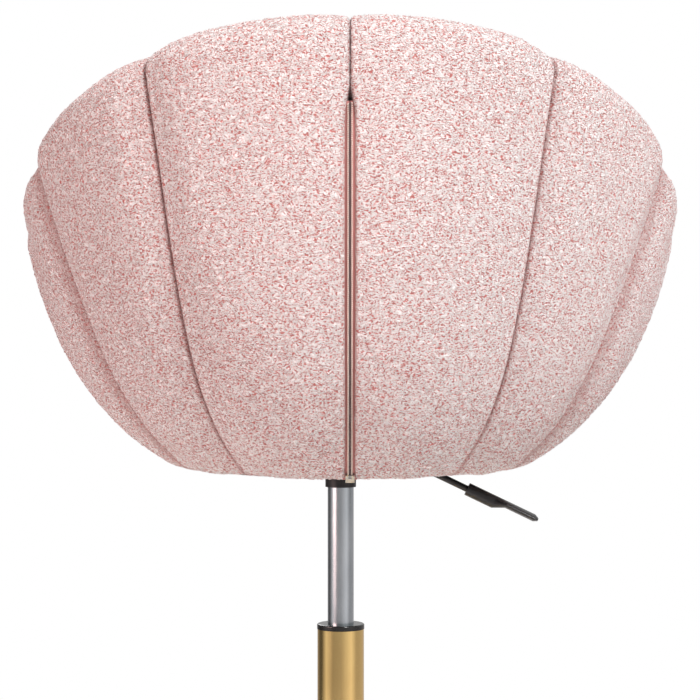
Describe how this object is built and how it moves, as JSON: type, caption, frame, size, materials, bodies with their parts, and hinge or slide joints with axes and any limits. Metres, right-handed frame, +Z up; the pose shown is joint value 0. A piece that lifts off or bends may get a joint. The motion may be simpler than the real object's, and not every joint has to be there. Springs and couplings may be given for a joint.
{
  "type": "styling chair",
  "caption": "Scallop-backed upholstered tub chair on a gas lift with a height lever, a star base and rolling casters, and a zipper up the back seam.",
  "frame": {"origin": "on the floor, under the axis of the gas lift", "axes": "+Z up; the sitter faces -Y, the zipped back is at +Y, and the height lever is at -X, the sitter's right"},
  "size_m": [0.695, 0.6949, 0.9045],
  "materials": {
    "boucle": "matte",
    "gold": "polished",
    "tube_steel": "polished",
    "plain_steel": "satin",
    "black_steel": "satin",
    "black_plastic": "gloss",
    "grip_plastic": "satin",
    "wheel_nylon": "satin",
    "moulded_shell": "matte",
    "plywood": "matte",
    "cover_cloth": "matte",
    "stop_rubber": "matte",
    "piston_metal": "satin",
    "zip_chain": "satin"
  },
  "bodies": {
    "base": {"star_base": "gold", "gas_column": "gold", "guide_bush": "black_plastic", "thrust_bearing": "plain_steel"},
    "spindle": {"piston_rod": "plain_steel", "piston_head": "piston_metal", "rod_clip": "plain_steel", "bump_stop": "stop_rubber"},
    "seat": {"pressure_tube": "tube_steel", "rod_guide": "moulded_shell", "taper_socket": "black_steel", "seat_plate": "black_steel", "plate_bolts": "plain_steel", "tee_nuts": "plain_steel", "lever_pivot_pin": "plain_steel", "seat_board": "plywood", "seat_cushion": "boucle", "front_pad": "boucle", "dust_cover": "cover_cloth", "inner_shell": "moulded_shell", "channel_right_1": "boucle", "channel_right_2": "boucle", "channel_right_3": "boucle", "channel_right_4": "boucle", "channel_right_5": "boucle", "channel_left_1": "boucle", "channel_left_2": "boucle", "channel_left_3": "boucle", "channel_left_4": "boucle", "channel_left_5": "boucle", "zipper_chain": "zip_chain"},
    "lever": {"lever_rod": "black_steel", "lever_grip": "grip_plastic"},
    "release_pin": {"release_pin": "tube_steel"},
    "slider": {"zipper_slider": "plain_steel"},
    "caster_1": {"caster_1_stem": "plain_steel", "caster_1_hood": "black_plastic", "caster_1_axle": "plain_steel"},
    "caster_2": {"caster_2_stem": "plain_steel", "caster_2_hood": "black_plastic", "caster_2_axle": "plain_steel"},
    "caster_3": {"caster_3_stem": "plain_steel", "caster_3_hood": "black_plastic", "caster_3_axle": "plain_steel"},
    "caster_4": {"caster_4_stem": "plain_steel", "caster_4_hood": "black_plastic", "caster_4_axle": "plain_steel"},
    "caster_5": {"caster_5_stem": "plain_steel", "caster_5_hood": "black_plastic", "caster_5_axle": "plain_steel"},
    "wheel_1_left": {"caster_1_wheel_left": "wheel_nylon"},
    "wheel_1_right": {"caster_1_wheel_right": "wheel_nylon"},
    "wheel_2_left": {"caster_2_wheel_left": "wheel_nylon"},
    "wheel_2_right": {"caster_2_wheel_right": "wheel_nylon"},
    "wheel_3_left": {"caster_3_wheel_left": "wheel_nylon"},
    "wheel_3_right": {"caster_3_wheel_right": "wheel_nylon"},
    "wheel_4_left": {"caster_4_wheel_left": "wheel_nylon"},
    "wheel_4_right": {"caster_4_wheel_right": "wheel_nylon"},
    "wheel_5_left": {"caster_5_wheel_left": "wheel_nylon"},
    "wheel_5_right": {"caster_5_wheel_right": "wheel_nylon"}
  },
  "joints": [
    {"name": "chair_swivel", "type": "hinge", "parent": "base", "child": "spindle", "pos_m": [0, 0, 0], "axis": [0, 0, 1], "continuous": true},
    {"name": "height_adjust", "type": "slide", "parent": "spindle", "child": "seat", "axis": [0, 0, 1], "range_m": [-0.1, 0]},
    {"name": "lever_lift", "type": "hinge", "parent": "seat", "child": "lever", "pos_m": [-0.03, 0, 0.48024], "axis": [0, 1, 0], "range_deg": [0, 7], "stiffness_Nm_per_rad": 0.6, "springref_deg": -17.19},
    {"name": "pin_press", "type": "slide", "parent": "seat", "child": "release_pin", "axis": [0, 0, -1], "range_m": [0, 0.0037]},
    {"name": "back_zip", "type": "hinge", "parent": "seat", "child": "slider", "pos_m": [-0.01, -0.07649, 0.79044], "axis": [1, 0, 0], "range_deg": [0, 53]},
    {"name": "turn_caster_1", "type": "hinge", "parent": "base", "child": "caster_1", "pos_m": [0, -0.28, 0], "axis": [0, 0, 1], "continuous": true},
    {"name": "wheel_1_left_spin", "type": "hinge", "parent": "caster_1", "child": "wheel_1_left", "pos_m": [0, -0.3, 0.025], "axis": [-1, 0, 0], "continuous": true},
    {"name": "wheel_1_right_spin", "type": "hinge", "parent": "caster_1", "child": "wheel_1_right", "pos_m": [0, -0.3, 0.025], "axis": [-1, 0, 0], "continuous": true},
    {"name": "turn_caster_2", "type": "hinge", "parent": "base", "child": "caster_2", "pos_m": [0.2663, -0.08653, 0], "axis": [0, 0, 1], "continuous": true},
    {"name": "wheel_2_left_spin", "type": "hinge", "parent": "caster_2", "child": "wheel_2_left", "pos_m": [0.28532, -0.0927, 0.025], "axis": [-0.309, -0.9511, 0], "continuous": true},
    {"name": "wheel_2_right_spin", "type": "hinge", "parent": "caster_2", "child": "wheel_2_right", "pos_m": [0.28532, -0.0927, 0.025], "axis": [-0.309, -0.9511, 0], "continuous": true},
    {"name": "turn_caster_3", "type": "hinge", "parent": "base", "child": "caster_3", "pos_m": [0.16458, 0.22653, 0], "axis": [0, 0, 1], "continuous": true},
    {"name": "wheel_3_left_spin", "type": "hinge", "parent": "caster_3", "child": "wheel_3_left", "pos_m": [0.17634, 0.24271, 0.025], "axis": [0.809, -0.5878, 0], "continuous": true},
    {"name": "wheel_3_right_spin", "type": "hinge", "parent": "caster_3", "child": "wheel_3_right", "pos_m": [0.17634, 0.24271, 0.025], "axis": [0.809, -0.5878, 0], "continuous": true},
    {"name": "turn_caster_4", "type": "hinge", "parent": "base", "child": "caster_4", "pos_m": [-0.16458, 0.22653, 0], "axis": [0, 0, 1], "continuous": true},
    {"name": "wheel_4_left_spin", "type": "hinge", "parent": "caster_4", "child": "wheel_4_left", "pos_m": [-0.17634, 0.24271, 0.025], "axis": [0.809, 0.5878, 0], "continuous": true},
    {"name": "wheel_4_right_spin", "type": "hinge", "parent": "caster_4", "child": "wheel_4_right", "pos_m": [-0.17634, 0.24271, 0.025], "axis": [0.809, 0.5878, 0], "continuous": true},
    {"name": "turn_caster_5", "type": "hinge", "parent": "base", "child": "caster_5", "pos_m": [-0.2663, -0.08653, 0], "axis": [0, 0, 1], "continuous": true},
    {"name": "wheel_5_left_spin", "type": "hinge", "parent": "caster_5", "child": "wheel_5_left", "pos_m": [-0.28532, -0.0927, 0.025], "axis": [-0.309, 0.9511, 0], "continuous": true},
    {"name": "wheel_5_right_spin", "type": "hinge", "parent": "caster_5", "child": "wheel_5_right", "pos_m": [-0.28532, -0.0927, 0.025], "axis": [-0.309, 0.9511, 0], "continuous": true}
  ],
  "couplings": [
    {"joint": "pin_press", "follows": "lever_lift", "m_per_rad": 0.03}
  ]
}
